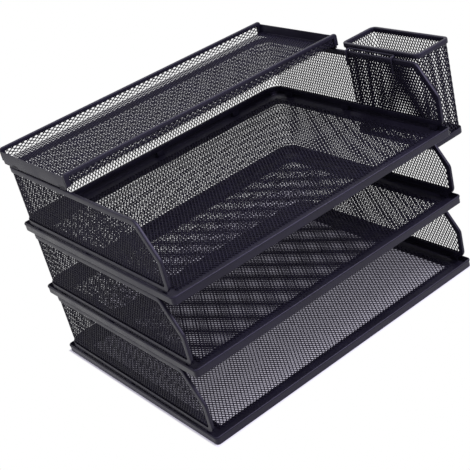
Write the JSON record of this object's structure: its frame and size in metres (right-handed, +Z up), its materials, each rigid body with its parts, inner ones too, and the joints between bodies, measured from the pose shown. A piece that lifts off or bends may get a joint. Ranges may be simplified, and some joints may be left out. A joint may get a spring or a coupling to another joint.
{
  "type": "tiered mail organizer",
  "caption": "Black mesh desk organizer: stacked open-front letter trays with slanted side walls, a lipped shelf on top and a pen cup hung on a wire hook.",
  "frame": {"origin": "middle of the bottom tray's footprint, on the desk", "axes": "+X to the right along the width, +Y to the back, away from the open front, +Z up"},
  "size_m": [0.3654, 0.247, 0.2245],
  "materials": {
    "coated_steel": "satin black powder coat on folded steel",
    "coated_mesh": "satin black powder coat on expanded steel mesh",
    "coated_wire": "satin black powder coat on bent steel wire"
  },
  "bodies": {
    "bottom_tray": {"bottom_base_frame": "coated_steel", "bottom_floor_mesh": "coated_mesh", "bottom_left_rim": "coated_steel", "bottom_left_mesh": "coated_mesh", "bottom_right_rim": "coated_steel", "bottom_right_mesh": "coated_mesh", "bottom_back_top_rail": "coated_steel", "bottom_back_bottom_rail": "coated_steel", "bottom_back_mesh": "coated_mesh"},
    "middle_tray": {"middle_base_frame": "coated_steel", "middle_floor_mesh": "coated_mesh", "middle_left_rim": "coated_steel", "middle_left_mesh": "coated_mesh", "middle_right_rim": "coated_steel", "middle_right_mesh": "coated_mesh", "middle_back_top_rail": "coated_steel", "middle_back_bottom_rail": "coated_steel", "middle_back_mesh": "coated_mesh"},
    "top_tray": {"top_base_frame": "coated_steel", "top_floor_mesh": "coated_mesh", "top_left_rim": "coated_steel", "top_left_mesh": "coated_mesh", "top_right_rim": "coated_steel", "top_right_mesh": "coated_mesh", "top_back_top_rail": "coated_steel", "top_back_bottom_rail": "coated_steel", "top_back_mesh": "coated_mesh"},
    "shelf": {"shelf_floor_mesh": "coated_mesh", "shelf_front_lip_rim": "coated_steel", "shelf_front_lip_mesh": "coated_mesh", "shelf_rear_lip_rim": "coated_steel", "shelf_rear_lip_mesh": "coated_mesh", "shelf_left_end_band": "coated_steel", "shelf_right_end_band": "coated_steel"},
    "pen_cup": {"cup_wall_mesh": "coated_mesh", "cup_rim": "coated_steel", "cup_base_frame": "coated_steel", "cup_floor_mesh": "coated_mesh", "cup_hanger": "coated_wire"}
  },
  "joints": [
    {"name": "middle_tray_lift", "type": "slide", "parent": "bottom_tray", "child": "middle_tray", "axis": [0, 0, 1], "range_m": [0, 0.05]},
    {"name": "top_tray_lift", "type": "slide", "parent": "middle_tray", "child": "top_tray", "axis": [0, 0, 1], "range_m": [0, 0.05]},
    {"name": "shelf_lift", "type": "slide", "parent": "top_tray", "child": "shelf", "axis": [0, 0, 1], "range_m": [0, 0.05]},
    {"name": "pen_cup_lift", "type": "slide", "parent": "top_tray", "child": "pen_cup", "axis": [0, 0, 1], "range_m": [0, 0.04]}
  ]
}
